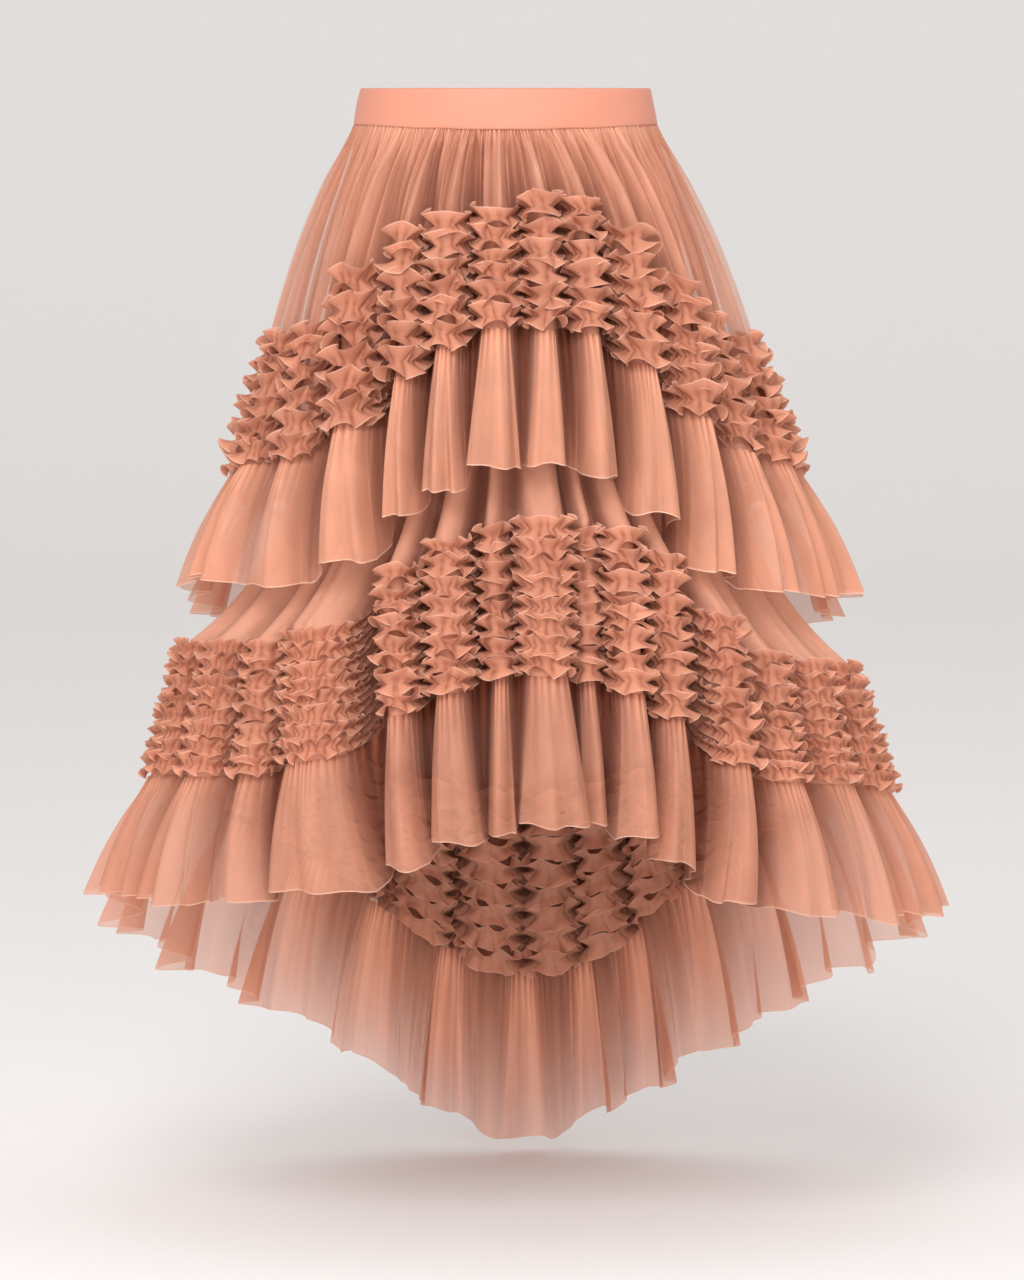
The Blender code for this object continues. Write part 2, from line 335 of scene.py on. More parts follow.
# ------------------------------------------------------------------ meshes
PIECES = []


def sheet_mesh(name, P, s, t, attrs, material, closed=True):
    """A ring or an open strip of cloth: P is rows x columns x 3, s the lengthwise and t the downward run."""
    m, n = P.shape[:2]
    mesh = bpy.data.meshes.new(name)
    mesh.vertices.add(m * n)
    mesh.vertices.foreach_set("co", P.reshape(-1).astype(np.float32))
    i, j = np.meshgrid(np.arange(m - 1), np.arange(n if closed else n - 1), indexing="ij")
    j2 = (j + 1) % n
    quads = np.stack([i * n + j, (i + 1) * n + j, (i + 1) * n + j2, i * n + j2], axis=-1)
    nf = quads.reshape(-1, 4).shape[0]
    mesh.loops.add(nf * 4)
    mesh.loops.foreach_set("vertex_index", quads.reshape(-1).astype(np.int32))
    mesh.polygons.add(nf)
    mesh.polygons.foreach_set("loop_start", np.arange(0, nf * 4, 4, dtype=np.int32))
    mesh.polygons.foreach_set("loop_total", np.full(nf, 4, dtype=np.int32))
    mesh.polygons.foreach_set("use_smooth", np.ones(nf, dtype=bool))
    uv = mesh.uv_layers.new(name="cloth")
    su = np.stack([s[j], s[j], s[j + 1], s[j + 1]], axis=-1)
    if t.ndim == 1:
        tt = np.repeat(t[:, None], n, axis=1)
    else:
        tt = t
    tv = np.stack([tt[i, j], tt[i + 1, j], tt[i + 1, j2], tt[i, j2]], axis=-1)
    uv.data.foreach_set("uv", np.stack([su, tv], axis=-1).reshape(-1).astype(np.float32))
    mesh.update(calc_edges=True)
    mesh.validate(verbose=False)
    attrs = {"crease_shade": 0.0, **attrs}
    attrs["tone"] = tone_of(P)
    for key, value in attrs.items():
        at = mesh.attributes.new(key, "FLOAT", "POINT")
        at.data.foreach_set("value", np.broadcast_to(value, (m, n)).reshape(-1).astype(np.float32))
    ob = bpy.data.objects.new(name, mesh)
    bpy.context.scene.collection.objects.link(ob)
    ob.data.materials.append(material)
    # flat size of the cut: its own length down, and the width that gives its area
    d1 = P[1:] - P[:-1]
    down = np.linalg.norm(d1, axis=2).sum(axis=0).mean()
    a = P[:-1]; b = P[1:]
    c = np.roll(b, -1, axis=1); d = np.roll(a, -1, axis=1)
    area = (0.5 * np.linalg.norm(np.cross(c - a, d - b), axis=2))[:, :n if closed else n - 1].sum()
    PIECES.append((name, nf * 2, area, down))
    return ob, area, down


def declare(ob, node):
    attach(ob, "root")
    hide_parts(node)


def edge_rows(m, first, last, pull=0.0012, length=0.1):
    """Row positions 0..1 with an extra narrow row at a free edge."""
    v = np.linspace(0.0, 1.0, m)
    lip = pull / length
    if first:
        v = np.concatenate([[0.0, lip], v[1:]])
    if last:
        v = np.concatenate([v[:-1], [1.0 - lip, 1.0]])
    return v


# ------------------------------------------------------------------ materials
class Nodes:
    """Short ways to write a node tree."""

    def __init__(self, name):
        self.mat = bpy.data.materials.new(name)
        self.mat.use_nodes = True
        self.nt = self.mat.node_tree
        self.nt.nodes.clear()

    def new(self, kind, **inputs):
        n = self.nt.nodes.new(kind)
        for key, value in inputs.items():
            self.put(n.inputs[key.replace("_", " ")], value)
        return n

    def put(self, socket, value):
        if isinstance(value, bpy.types.NodeSocket):
            self.nt.links.new(value, socket)
        elif isinstance(value, tuple) and socket.type == "RGBA" and len(value) == 3:
            socket.default_value = (*value, 1.0)
        else:
            socket.default_value = value

    def attribute(self, key):
        a = self.new("ShaderNodeAttribute")
        a.attribute_type = "GEOMETRY"
        a.attribute_name = key
        return a.outputs["Fac"]

    def maths(self, op, *values, clamp=False):
        m = self.new("ShaderNodeMath")
        m.operation = op
        m.use_clamp = clamp
        for k, v in enumerate(values):
            self.put(m.inputs[k], v)
        return m.outputs[0]

    def mix(self, fac, a, b):
        m = self.new("ShaderNodeMix")
        m.data_type = "RGBA"
        self.put(m.inputs["Factor"], fac)
        ins = [x for x in m.inputs if x.type == "RGBA"]
        self.put(ins[0], a)
        self.put(ins[1], b)
        return [x for x in m.outputs if x.type == "RGBA"][0]


def tulle(name, body, edge, cover, thin=0.30, edge_cover=0.92, painted_shade_colour=(0.130, 0.030, 0.013),
          crease_shade_colour=(0.38, 0.110, 0.055), dense_shadow=False, inner=0.30):
    """Sheer crisp cloth: fine weave, open between the threads, denser where it is gathered; its colour carries painted
    shade in recesses, creases and on the inner side, and a painted highlight on the hems.
    """
    t = Nodes(name)
    uv = t.new("ShaderNodeUVMap")
    uv.uv_map = "cloth"
    threads = []
    for axis in ("X", "Y"):                                # two sets of threads, 0.45 mm apart
        w = t.new("ShaderNodeTexWave", Scale=700.0, Distortion=0.0, Detail=0.0, Vector=uv.outputs[0])
        w.wave_type = "BANDS"
        w.bands_direction = axis
        threads.append(w.outputs["Fac"])
    weave = t.maths("MAXIMUM", threads[0], threads[1])
    tone, e = t.attribute("tone"), t.attribute("edge")
    recess_and_shade, dens = t.attribute("recess_and_shade"), t.attribute("dens")
    light_body = tuple(min(1.0, c * 1.10) for c in body)
    dark_body = tuple(c * 0.88 for c in body)
    colour = t.mix(tone, dark_body, light_body)
    # painted shade: the colour darkens in the recesses between the fold columns
    colour = t.mix(t.maths("MULTIPLY", recess_and_shade, 0.92, clamp=True), colour, painted_shade_colour)
    # painted shade in creases, gather valleys and along seams
    colour = t.mix(t.maths("MULTIPLY", t.attribute("crease_shade"), 0.74, clamp=True), colour, crease_shade_colour)
    # painted highlight: the rolled hems are lighter in colour; their real extra density is in the cover below
    colour = t.mix(t.maths("MULTIPLY", e, 0.85, clamp=True), colour, edge)
    # painted shade: the inner side gets little light, so its colour is darkened
    side = t.new("ShaderNodeNewGeometry")
    colour = t.mix(t.maths("MULTIPLY", side.outputs["Backfacing"], inner), colour, painted_shade_colour)
    # cover: the share of light that the threads stop
    c = t.maths("MULTIPLY", dens, cover)
    c = t.maths("MULTIPLY_ADD", t.maths("SUBTRACT", weave, 0.6), 0.10, c)
    c = t.maths("MULTIPLY_ADD", t.maths("SUBTRACT", tone, 0.5), 0.10, c)
    c = t.maths("MULTIPLY_ADD", e, edge_cover - cover * 0.6, c, clamp=True)
    # the net is too fine to resolve, so each point of it is either thread or hole, by chance
    net = t.new("ShaderNodeTexWhiteNoise", Vector=uv.outputs[0])
    c = t.maths("LESS_THAN", net.outputs["Value"], c)
    t.mat.use_transparent_shadow = not dense_shadow
    bump = t.new("ShaderNodeBump", Strength=0.25, Distance=0.0003, Height=weave)
    surf = t.new("ShaderNodeBsdfPrincipled", Roughness=0.62, Specular_IOR_Level=0.30, Sheen_Weight=0.10,
                 Sheen_Roughness=0.5, Sheen_Tint=(1.0, 0.86, 0.80), Base_Color=colour,
                 Normal=bump.outputs[0])
    through = t.new("ShaderNodeBsdfTranslucent", Color=colour)
    body_mix = t.new("ShaderNodeMixShader")
    t.put(body_mix.inputs[0], thin)
    t.put(body_mix.inputs[1], surf.outputs[0])
    t.put(body_mix.inputs[2], through.outputs[0])
    clear = t.new("ShaderNodeBsdfTransparent", Color=(1.0, 0.94, 0.91))
    last = t.new("ShaderNodeMixShader")
    t.put(last.inputs[0], c)
    t.put(last.inputs[1], clear.outputs[0])
    t.put(last.inputs[2], body_mix.outputs[0])
    t.new("ShaderNodeOutputMaterial", Surface=last.outputs[0])
    return t.mat


def satin(name):
    t = Nodes(name)
    uv = t.new("ShaderNodeUVMap")
    uv.uv_map = "cloth"
    run = t.new("ShaderNodeMapping", Vector=uv.outputs[0], Scale=(0.16, 1.0, 1.0))
    yarn = t.new("ShaderNodeTexNoise", Vector=run.outputs[0], Scale=2600.0, Detail=2.0)
    place = t.new("ShaderNodeTexCoord")
    cloud = t.new("ShaderNodeTexNoise", Vector=place.outputs["Object"], Scale=14.0, Detail=3.0)
    colour = t.mix(cloud.outputs["Fac"], (0.555, 0.215, 0.140), (0.600, 0.242, 0.162))
    colour = t.mix(t.maths("MULTIPLY", yarn.outputs["Fac"], 0.22), colour, (0.64, 0.295, 0.210))
    bump = t.new("ShaderNodeBump", Strength=0.12, Distance=0.0002, Height=yarn.outputs["Fac"])
    surf = t.new("ShaderNodeBsdfPrincipled", Base_Color=colour, Normal=bump.outputs[0], Roughness=0.52,
                 Specular_IOR_Level=0.30, Sheen_Weight=0.08, Sheen_Roughness=0.35,
                 Sheen_Tint=(1.0, 0.88, 0.82))
    t.new("ShaderNodeOutputMaterial", Surface=surf.outputs[0])
    return t.mat


BODY = (0.800, 0.368, 0.236)
# painted highlight: the lighter colour of the rolled hems
EDGE = (0.940, 0.640, 0.500)
MAT_BAND = satin("band_satin")
# painted light: the panels, the inner back ruffles and the lower flounce use lighter copies of the cloth's one colour,
# brightened to stand in for light they lack
MAT_PANEL_LIGHTENED = tulle("panel_tulle", (0.900, 0.440, 0.295), EDGE, cover=0.46, dense_shadow=True)
MAT_UNDER_LIGHTENED = tulle("under_tulle", (0.900, 0.430, 0.288), EDGE, cover=0.62, dense_shadow=True)
MAT_RUFFLE = tulle("ruffle_tulle", (0.800, 0.360, 0.230), EDGE, cover=0.94, thin=0.30, dense_shadow=True, inner=0.0)
MAT_BACK_LIGHTENED = tulle("back_ruffle_tulle", (0.900, 0.430, 0.285), EDGE, cover=0.94, thin=0.45, dense_shadow=True, inner=0.0)
MAT_FLOUNCE = tulle("flounce_tulle", BODY, EDGE, cover=0.54, thin=0.22, inner=0.06)
MAT_LOWER_LIGHTENED = tulle("lower_flounce_tulle", (0.900, 0.425, 0.282), EDGE, cover=0.54, thin=0.46, inner=0.0)


# ------------------------------------------------------------------ waistband
def waistband():
    n = 220
    th = np.linspace(0.0, 360.0, n, endpoint=False) - 180.0
    # profile: outer face from top to foot, slightly full over the elastic, then the inner face
    prof = []
    for v in np.linspace(0.0, 1.0, 12):
        full = 0.0005 * math.sin(math.pi * v)
        prof.append((v, full))
    rnd = 0.0013
    wall = 0.0028
    outer = [(0.0, -rnd * 0.9), (0.012, -rnd * 0.30), (0.03, 0.0)] + prof[1:-1] \
        + [(0.955, 0.0), (0.985, -0.0003), (1.0, -0.0011)]
    inner = [(0.995, -wall + 0.0008), (0.96, -wall), (0.5, -wall), (0.05, -wall), (0.004, -wall + 0.0010)]
    rows = []
    t = np.radians(th)
    s, co = np.sin(t), np.cos(t)
    for v, off in outer + inner:
        A, B = LEVELS["band_top"], LEVELS["band_foot"]
        half, front, back, shift = (A[i] + (B[i] - A[i]) * v for i in range(4))
        soft = 0.00035 * np.sin(t * 9 + 2.0 + 3 * v) * math.sin(math.pi * v)
        depth = np.where(co > 0, front, back)
        foot = drop("band_foot", th) + 0.0003
        rows.append(np.stack([shift + (half + off + soft) * s, -(depth + off + soft) * co,
                              -0.0002 - foot * v], axis=-1))
    P = np.array(rows)
    P = np.concatenate([P, P[:1]], axis=0)
    length = 0.84
    sarr = np.linspace(0.0, length, n + 1)
    tarr = np.concatenate([[0.0], np.cumsum(np.linalg.norm(np.diff(P[:, 0], axis=0), axis=1))])
    ob, area, down = sheet_mesh("waistband_satin", P, sarr, tarr, {}, MAT_BAND)
    # weld the closing row on to the first
    import bmesh
    bm = bmesh.new(); bm.from_mesh(ob.data)
    bmesh.ops.remove_doubles(bm, verts=bm.verts[:], dist=1e-6)
    bm.to_mesh(ob.data); bm.free()
    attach(ob, "root"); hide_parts("waistband")
    return ob


# ------------------------------------------------------------------ panels
def gathers(length, s, wave, seed, spread=0.35):
    ends, n = jittered_phase(length, wave, seed, spread)
    ph = np.interp(s, ends, np.arange(n + 1))
    rng = np.random.default_rng(seed + 5)
    amp = rng.uniform(0.45, 1.0, n + 1); amp[-1] = amp[0]
    i = np.floor(ph).astype(int) % n
    f = ph - np.floor(ph)
    f2 = f * f * (3 - 2 * f)
    a = amp[i] * (1 - f2) + amp[(i + 1) % n] * f2
    return np.cos(TAU * ph) * a


def upper_panel():
    n = 1300
    u, length = even_u(UPPER, n, "band_foot", "upper_top", 0.55, 0.0, 0.75)
    s = np.linspace(0.0, length, n + 1)
    sj = s[:-1]
    fine = gathers(length, sj, 0.0062, 11)
    mid = gathers(length, sj, 0.021, 23, 0.45)
    broad = gathers(length, sj, 0.052, 31, 0.5)
    rows, ts, dens, recess_shade_rows, crease_shade_rows = [], [], [], [], []
    _, recess_and_shade = UPPER.fold(u)
    a = np.abs((UPPER.angle(u, 0.0) + 180.0) % 360.0 - 180.0)
    middle = 1.0 - smooth01((a - 48.0) / 26.0) * smooth01((150.0 - a) / 40.0)
    v1 = np.linspace(0.0, 1.0, 34) ** 1.25
    for v in v1:
        share = 0.92 * v ** 0.9
        g = (0.0022 * math.exp(-v / 0.22) + 0.0003) * fine \
            + 0.0060 * smooth01(np.array(v / 0.30)) * mid \
            + 0.0050 * smooth01(np.array(v / 0.6)) * broad
        full = 0.006 * math.sin(math.pi * min(1.0, v))       # the cloth springs out under the band
        rows.append(ring(UPPER, u, "band_foot", "upper_top", v, 0.0, share,
                         inset=0.0016 * (1 - v) + 0.0010, out=g + full, down=0.0003 * (1 - v)))
        dens.append(0.62 + 0.75 * math.exp(-v / 0.10) + middle * (0.80 - 0.15 * v)
                    + 0.10 * (fine < -0.2) * math.exp(-v / 0.3))
        # painted shade in the fold recesses, growing downwards
        recess_shade_rows.append(recess_and_shade * 0.5 * v)
        # painted shade in the gather valleys, strongest under the band
        crease_shade_rows.append(np.clip(0.1 - fine, 0, 1) * 1.10 * math.exp(-v / 0.25)
                       + np.clip(-0.05 - mid, 0, 1) ** 1.3 * 1.05 * smooth01(np.array(v / 0.20))
                       + np.clip(-broad, 0, 1) * 0.28 * smooth01(np.array(v / 0.30)))
    for f in np.linspace(0.0, 1.0, 10)[1:]:
        g = 0.0060 * mid + 0.0050 * broad
        rows.append(ring(UPPER, u, "upper_top", "upper_foot", f, f, 0.92 + 0.08 * f,
                         inset=0.0010 + 0.006 * min(1.0, 6 * f * (1 - f)), out=g * (1 - f) ** 3))
        dens.append(np.full(n, 1.35))
        recess_shade_rows.append(recess_and_shade)
        crease_shade_rows.append(0.3 * recess_and_shade)
    P = np.array(rows)
    t = np.concatenate([[0.0], np.cumsum(np.linalg.norm(np.diff(P, axis=0), axis=2).mean(axis=1))])
    ob, area, down = sheet_mesh("upper_panel_tulle", P, s, t,
                                {"edge": 0.0, "dens": np.array(dens), "recess_and_shade": np.array(recess_shade_rows),
                                 "crease_shade": np.array(crease_shade_rows)}, MAT_PANEL_LIGHTENED)
    declare(ob, "upper_panel")


def lower_panel():
    n = 1000
    u, length = even_u(LOWER, n, "upper_foot", "lower_top", 0.8, 0.0, 0.9)
    s = np.linspace(0.0, length, n + 1)
    fine = gathers(length, s[:-1], 0.011, 41)
    mid = gathers(length, s[:-1], 0.030, 43, 0.45)
    _, recess_and_shade = LOWER.fold(u)
    rows, dens, recess_shade_rows, crease_shade_rows = [], [], [], []

    # the last two values are painted shade: in the fold recesses and in the creases
    def add(a, b, f, c, share, inset, g, d, recess_shade_amt, crease_shade_amt=0.0):
        rows.append(ring(LOWER, u, a, b, f, c, share, inset=inset, out=g))
        dens.append(d + np.zeros(n)); recess_shade_rows.append(recess_shade_amt); crease_shade_rows.append(crease_shade_amt + np.zeros(n))

    for v in np.linspace(0.0, 1.0, 12):
        add("band_foot", "upper_top", v, 0.0, 0.30 * v, 0.0036 + 0.038 * v,
            0.0006 * fine * (1 - v) + 0.0016 * v * mid, 0.95 + 0.4 * math.exp(-v / 0.15), recess_and_shade * 0.1)
    for v in np.linspace(0.0, 1.0, 7)[1:]:
        add("upper_top", "upper_foot", v, 0.0, 0.30, 0.0416 + 0.0164 * v, 0.0018 * mid, 1.0, recess_and_shade * 0.4)
    for v in np.linspace(0.0, 1.0, 14)[1:]:
        w = smooth01(np.array(v))
        add("upper_foot", "lower_top", v, 0.0, 0.30 + 0.70 * w, 0.057 * (1 - v ** 3) + 0.001,
            0.0020 * mid, 1.2 + 0.30 * backing(LOWER, u), recess_and_shade * (0.4 + 0.6 * w))
    front = LOWER.fronting(u)
    for v in np.linspace(0.0, 1.0, 41)[1:]:
        held = math.sin(math.pi * 8 * v) ** 2              # 1 at a ruffle's seam, where the panel is puckered
        # painted shade in the puckers at each ruffle's seam
        add("lower_top", "lower_foot", v, v, 1.0, 0.001 + 0.0012 * (1 - held),
            0.0020 * mid * (1 - 0.7 * v) + 0.0010 * held * fine,
            1.42, recess_and_shade * (0.75 + 0.25 * front), held ** 3 * (0.55 + 0.45 * np.clip(-fine, 0, 1)))
    P = np.array(rows)
    t = np.concatenate([[0.0], np.cumsum(np.linalg.norm(np.diff(P, axis=0), axis=2).mean(axis=1))])
    ob, area, down = sheet_mesh("lower_panel_tulle", P, s, t,
                                {"edge": 0.0, "dens": np.array(dens), "recess_and_shade": np.array(recess_shade_rows),
                                 "crease_shade": np.array(crease_shade_rows)}, MAT_UNDER_LIGHTENED)
    declare(ob, "lower_panel")


# ------------------------------------------------------------------ ruffles
def ruffle(name, node, folds, a, b, f, rows_in_band, wing, wave, seed, per_flute=10, inside=None):
    """A strip gathered on its centre line, its two wings fanning out in uneven flutes; with inside
    set to an angle, only the part behind that angle, on the inner side of the panel."""
    dense = np.linspace(0.0, folds.k, 9001)
    p = ring(folds, dense, a, b, f, f, 1.0)
    seg = np.linalg.norm(np.diff(p, axis=0), axis=1)
    s = np.concatenate([[0.0], np.cumsum(seg)])
    # the flutes are finer on the front columns and looser round the sides
    loose = 1.0 + 0.42 * (1.0 - folds.fronting(dense))
    w = np.concatenate([[0.0], np.cumsum(seg / (0.5 * (loose[1:] + loose[:-1])))])
    ends, nfl = jittered_phase(w[-1], wave, seed, 0.38)
    ends = np.interp(ends, w, s)
    n = nfl * per_flute
    phase = np.arange(n) / per_flute                       # in flutes
    sj = np.interp(phase, np.arange(nfl + 1), ends)
    u = np.interp(sj, s, dense)
    G = ring(folds, u, a, b, f, f, 1.0)
    df = 0.03
    up = ring(folds, u, a, b, f - df, f, 1.0) - ring(folds, u, a, b, f + df, f, 1.0)
    up /= np.linalg.norm(up, axis=1)[:, None]
    T = np.roll(G, -1, axis=0) - np.roll(G, 1, axis=0)
    # a softer run of directions, so that wings turn smoothly round the columns
    for _ in range(3):
        T = T + np.roll(T, 1, axis=0) + np.roll(T, -1, axis=0)
    T /= np.linalg.norm(T, axis=1)[:, None]
    Nn = np.cross(T, up)
    Nn /= np.linalg.norm(Nn, axis=1)[:, None]
    if inside:
        Nn = -Nn
        G = G + Nn * 0.0022
    _, recess_and_shade = folds.fold(u)
    front = folds.fronting(u)
    # painted shade: seen from within, what is a recess outside stands forward and stays light, and the crests fall
    # back and are darkened; outside, the recesses are darkened, most on the front columns
    recess_and_shade = 0.62 - 0.62 * np.clip(recess_and_shade * 1.5, 0, 1) if inside else recess_and_shade * (0.15 + 0.85 * front)
    pitch = np.linalg.norm(ring(folds, u, a, b, f - 0.5 / rows_in_band, f, 1.0)
                           - ring(folds, u, a, b, f + 0.5 / rows_in_band, f, 1.0), axis=1)
    wing = wing * pitch
    k = np.floor(phase).astype(int)
    x = phase - k
    # each row sits a little off the others on every column
    col = np.floor(u).astype(int) % folds.k
    hump = np.sin(math.pi * (u - np.floor(u))) ** 2
    jit = np.random.default_rng(seed * 3 + 1).uniform(-1, 1, (3, folds.k))
    # and each column's rows are set off from its neighbours', less and less towards the foot
    stagger = np.random.default_rng(folds.k).uniform(-1, 1, folds.k)
    rise = 0.0016 * jit[1][col] + front * (0.0020 * jit[1][col] + 0.0085 * (1 - f) ** 0.7 * stagger[col])
    G = G + T * (0.0034 * jit[0][col] * hump)[:, None] + up * (rise * hump)[:, None] \
        + Nn * (0.0016 * (1.0 + jit[2][col]) * hump)[:, None]
    fan = np.sin(TAU * (u - np.floor(u))) * (-1.0 if inside else 1.0)
    turn = np.random.default_rng(seed * 3 + 2).uniform(-0.9, 0.9, nfl + 1); turn[-1] = turn[0]
    pleat = np.sin(TAU * 2 * phase + 1.3 + turn[k] * (1 - x) + turn[k + 1] * x)

    def per(lo, hi, sd):
        r = np.random.default_rng(seed * 7 + sd).uniform(lo, hi, nfl)
        c = 0.5 - 0.5 * np.cos(math.pi * x)
        return r[k] * (1 - c) + r[(k + 1) % nfl] * c

    rows, edge, dens, crease_shade, tt = [], [], [], [], []
    qs = (1.0, 0.93, 0.66, 0.34)
    for side in (1, -1):
        xs = x if side > 0 else x + 0.30
        tip = (0.5 - 0.5 * np.cos(TAU * xs)) ** 1.2        # 0 at a flute's root, 1 at its tip
        reach = wing * per(0.78, 1.22, 3 if side > 0 else 4) * (1 - 0.72 * np.clip(recess_and_shade, 0, 1))
        open_ = per(34, 84, 5 if side > 0 else 6)
        shut = per(-4, 20, 7 if side > 0 else 8)
        lean = per(-0.65, 0.65, 9 if side > 0 else 10)
        order = qs if side > 0 else tuple(reversed(qs))
        for q in order:
            al = np.radians(shut + (open_ - shut) * tip * q ** 0.45 + (1 - q) * 16.0)
            L = reach * q
            # cloth swings sideways between root and tip, so that each flute is a round fan
            swing = (lean * tip - 0.32 * np.sin(TAU * xs)) * L * 0.75
            swing = swing - fan * L * (0.22 + 0.20 * front)
            pos = G + Nn * (0.0016 + L * np.sin(al) + 0.0010 * (1.15 - 0.75 * q) * pleat)[:, None] \
                + up * (side * L * np.cos(al))[:, None] + T * swing[:, None]
            rows.append(pos); edge.append(1.0 if q == 1.0 else 0.0)
            dens.append(0.92 + 0.16 * (1 - q))
            # painted shade: darker towards the seam, in the pleat valleys and at the flutes' roots
            crease_shade.append(0.42 * (1 - q) ** 0.8 + np.clip(-pleat, 0, 1) ** 1.5 * (1.05 - q) * 1.2
                          + np.clip(-np.cos(TAU * (xs - 0.5)), 0, 1) * 0.35 * (1 - 0.5 * q))
            tt.append(side * -q * float(wing.mean()))
        if side > 0:
            crimp = 0.0007 * pleat * per(0.4, 1.0, 12)
            rows.append(G + Nn * (0.0014 + crimp)[:, None]); edge.append(0.0); dens.append(1.22)
            # painted shade along the seam
            crease_shade.append(0.55 + 0.45 * np.clip(-pleat, 0, 1))
            tt.append(0.0)
    P = np.array(rows)
    full = np.linalg.norm(np.diff(P[0], axis=0, append=P[0][:1]), axis=1)
    sarr = np.concatenate([[0.0], np.cumsum(full)])
    m = len(rows)
    E = np.repeat(np.array(edge)[:, None], n, axis=1)
    D = np.repeat(np.array(dens)[:, None], n, axis=1)
    recess_shade_grid = np.repeat(recess_and_shade[None, :], m, axis=0)
    crease_shade = np.array(crease_shade)
    if inside:
        # less painted crease shade on the inner strips
        crease_shade = crease_shade * 0.30
        at = np.abs((folds.angle(u, f) + 180.0) % 360.0 - 180.0)
        a0, a1 = np.flatnonzero(at > inside)[[0, -1]]
        P, E, D, recess_shade_grid, crease_shade = (v[:, a0:a1 + 1] for v in (P, E, D, recess_shade_grid, crease_shade))
        sarr = sarr[a0:a1 + 2]
    ob, area, down = sheet_mesh(name, P, sarr, np.array(tt),
                                {"edge": E, "dens": D, "recess_and_shade": recess_shade_grid, "crease_shade": crease_shade},
                                MAT_BACK_LIGHTENED if inside else MAT_RUFFLE, closed=not inside)
    declare(ob, node)


# ------------------------------------------------------------------ flounces
def flounce(name, node, folds, a, b, seed, n, m, inset=0.0, short=0.0, cover=1.0, hold=1.15, wave=0.034):
    """A plain flounce: fine gathers at its head, tubes and flutes that open to an uneven hem."""
    u, length = even_u(folds, n, a, b, 0.9, 1.9, 1.05)
    s = np.linspace(0.0, length, n + 1)
    run = s[:-1]
    fine = gathers(length, run, 0.0098, seed, 0.45)
    flute = gathers(length, run, wave, seed + 3, 0.5)
    flute2 = gathers(length, run, wave * 0.47, seed + 4, 0.5)
    lift = noise1(run / 0.046, seed + 9) * 0.0060 + noise1(run / 0.017, seed + 10) * 0.0008
    ease = smooth01(np.arange(60) / 59.0)
    lift[-60:] = lift[-60:] * (1 - ease) + lift[0] * ease
    gap = short * (1.0 + 0.45 * noise1(run / 0.055, seed + 21))
    gap[-60:] = gap[-60:] * (1 - ease) + gap[0] * ease
    _, recess_and_shade = folds.fold(u)
    front = folds.fronting(u)
    back = backing(folds, u)
    x = u - np.floor(u)
    # painted shade towards the sides of each front tube
    tube_side_shade = 0.16 * np.clip(np.abs(x - 0.5) / (0.5 - folds.EDGE), 0, 1) ** 2 * front
    soft = 1.0 + 0.5 * (1.0 - front)                       # the back falls in flutes more than folds
    broad = gathers(length, run, 0.050, seed + 6, 0.5) * (1.0 - front)
    vs = edge_rows(m, False, True, 0.0012, 0.12)
    rows, dens, edge, recess_shade_rows, crease_shade_rows = [], [], [], [], []
    for v in vs:
        g = 0.0023 * math.exp(-v / 0.20) * fine + 0.0064 * v ** 0.8 * flute * soft \
            + 0.0016 * v ** 0.6 * (1 - 0.6 * v) * flute2 + 0.0140 * v ** 0.8 * broad
        spring = 0.007 * math.sin(math.pi * min(1.0, v * 0.9)) * (1 - 0.3 * v)
        share = 1.0 + (hold * (0.68 + 0.32 * front) - 1.0) * v
        p = ring(folds, u, a, b, v, 1.0 + v, share, inset=0.001 + inset * min(1.0, v * 4), out=g + spring)
        p[:, 2] += (lift - 0.0012 * flute + gap) * v
        rows.append(p)
        dens.append(cover * (1.0 + 0.55 * math.exp(-v / 0.12)) * (1.0 + 0.42 * front + 0.80 * back)
                    * (1.0 - (0.10 + 0.30 * back) * v ** 3))
        edge.append(1.0 if v >= 1.0 else 0.0)
        # painted shade: in the recesses and towards the tubes' sides, less down the back, and an even darkening over
        # the lower flounce's front
        recess_shade_rows.append((recess_and_shade + tube_side_shade * (1 - 0.5 * v)) * (1 - 0.30 * v ** 3) * (0.75 * (1 - v) ** 0.8 * (1 - front) + front)
                     + (0.17 * front if folds is LOWER else 0.0))
        # painted shade in the gather valleys at the head and in the flute valleys below
        crease_shade_rows.append(np.clip(0.15 - fine, 0, 1) * 1.1 * math.exp(-v / 0.17)
                       + np.clip(-flute, 0, 1) * 0.24 * min(1.0, v * 3) + np.clip(-broad, 0, 1) * 0.50 * v ** 0.5)
    P = np.array(rows)
    t = np.concatenate([[0.0], np.cumsum(np.linalg.norm(np.diff(P, axis=0), axis=2).mean(axis=1))])
    ob, area, down = sheet_mesh(name, P, s, t,
                                {"edge": np.repeat(np.array(edge)[:, None], n, 1),
                                 "dens": np.array(dens), "recess_and_shade": np.array(recess_shade_rows),
                                 "crease_shade": np.array(crease_shade_rows)}, MAT_FLOUNCE if folds is UPPER else MAT_LOWER_LIGHTENED)
    declare(ob, node)


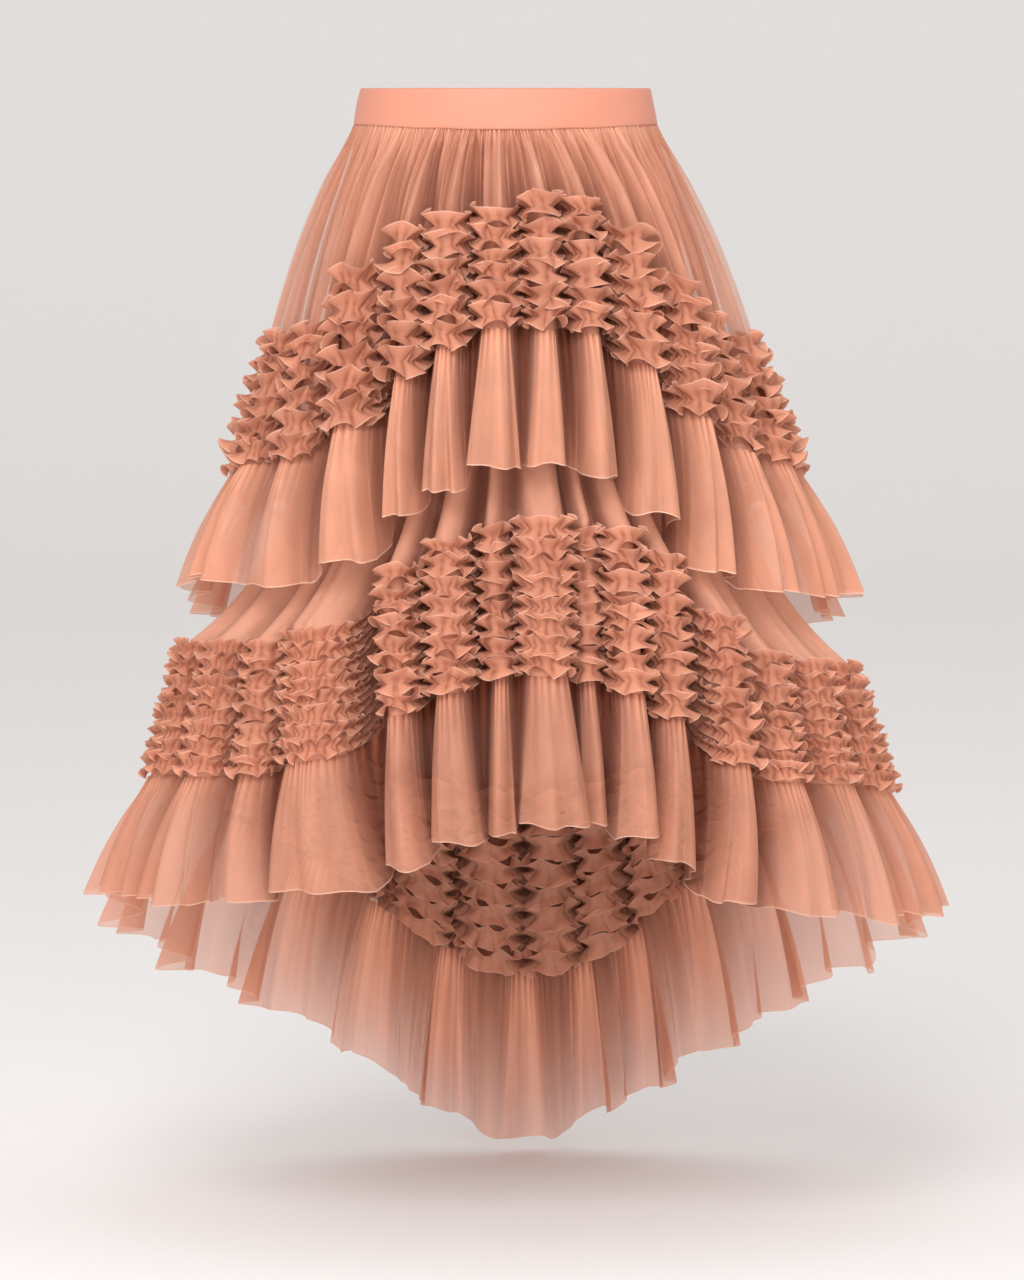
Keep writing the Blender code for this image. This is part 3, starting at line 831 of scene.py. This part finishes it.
waistband()
upper_panel()
lower_panel()
for i in range(6):
    ruffle("upper_ruffle_%d_tulle" % (i + 1), "upper_ruffle_%d" % (i + 1), UPPER, "upper_top", "upper_foot",
           (i + 0.5) / 6, 6, 0.68, 0.0118, 200 + 13 * i)
for i in range(8):
    ruffle("lower_ruffle_%d_tulle" % (i + 1), "lower_ruffle_%d" % (i + 1), LOWER, "lower_top", "lower_foot",
           (i + 0.5) / 8, 8, 0.70, 0.0118, 500 + 13 * i)
    ruffle("lower_back_ruffle_%d_tulle" % (i + 1), "lower_ruffle_%d" % (i + 1), LOWER, "lower_top", "lower_foot",
           (i + 0.5) / 8, 8, 0.64, 0.0112, 800 + 13 * i, per_flute=8, inside=116.0)
flounce("upper_flounce_tulle", "upper_flounce", UPPER, "upper_foot", "upper_hem", 61, 2000, 24)
flounce("lower_flounce_tulle", "lower_flounce", LOWER, "lower_foot", "lower_hem", 81, 2600, 24)
total = sum(p[1] for p in PIECES)
print("pieces", len(PIECES), "triangles", total, "most", max(p[1] for p in PIECES))


# ------------------------------------------------------------------ floor, light and camera
def stage():
    mesh = bpy.data.meshes.new("floor")
    # one sweep: floor, a wide cove, and the wall behind
    prof = [(-34.0, 0.0), (7.4, 0.0)]
    for i in range(1, 33):
        t = math.radians(90.0 * i / 32)
        prof.append((7.4 + 6.0 * math.sin(t), 6.0 * (1 - math.cos(t))))
    prof.append((13.4, 30.0))
    z0 = -1.022
    verts, faces = [], []
    for x in (-34.0, 34.0):
        verts += [(x, y, z0 + z) for y, z in prof]
    k = len(prof)
    faces = [(i, k + i, k + i + 1, i + 1) for i in range(k - 1)]
    mesh.from_pydata(verts, [], faces)
    for p in mesh.polygons:
        p.use_smooth = True
    ob = bpy.data.objects.new("floor", mesh)
    bpy.context.scene.collection.objects.link(ob)
    mat = bpy.data.materials.new("studio_paper")
    mat.use_nodes = True
    b = mat.node_tree.nodes["Principled BSDF"]
    b.inputs["Base Color"].default_value = (0.80, 0.779, 0.772, 1.0)
    b.inputs["Roughness"].default_value = 0.95
    b.inputs["Specular IOR Level"].default_value = 0.1
    mesh.materials.append(mat)


def area_light(name, loc, aim, size, power, colour=(1, 1, 1), size_y=None):
    data = bpy.data.lights.new(name, "AREA")
    data.shape = "RECTANGLE"
    data.size = size
    data.size_y = size_y or size
    data.energy = power
    data.color = colour
    ob = bpy.data.objects.new(name, data)
    bpy.context.scene.collection.objects.link(ob)
    ob.location = loc
    from mathutils import Vector
    d = Vector(aim) - Vector(loc)
    ob.rotation_euler = d.to_track_quat("-Z", "Y").to_euler()
    ob.visible_camera = False
    return ob


stage()
area_light("key", (-0.9, -4.9, 2.8), (0, 0, -0.5), 2.5, 238)
area_light("fill", (0.9, -5.6, 0.35), (0, 0.3, -0.85), 1.2, 70)
world = bpy.data.worlds.new("studio")
bpy.context.scene.world = world
world.use_nodes = True
bg = world.node_tree.nodes["Background"]
bg.inputs[0].default_value = (1.0, 0.988, 0.976, 1.0)
bg.inputs[1].default_value = 0.93

cam_data = bpy.data.cameras.new("camera")
cam = bpy.data.objects.new("camera", cam_data)
bpy.context.scene.collection.objects.link(cam)
cam_data.sensor_fit = "VERTICAL"
cam_data.sensor_height = 24.0
cam_data.lens = 24.0 * (6000.0 / 0.9) / 1280.0
cam_data.clip_end = 60.0
cam.location = (0.0058, -6.0, 0.0115)
cam.rotation_euler = (math.radians(90.0) - math.atan(565.0 * 0.9 / 6000.0), 0.0, 0.0)
bpy.context.scene.camera = cam
sc = bpy.context.scene
sc.view_settings.view_transform = "Standard"
if hasattr(sc, "cycles"):
    sc.cycles.transparent_max_bounces = 8
    sc.cycles.max_bounces = 3
    sc.cycles.diffuse_bounces = 2
    sc.cycles.transmission_bounces = 2
    sc.cycles.adaptive_threshold = 0.08
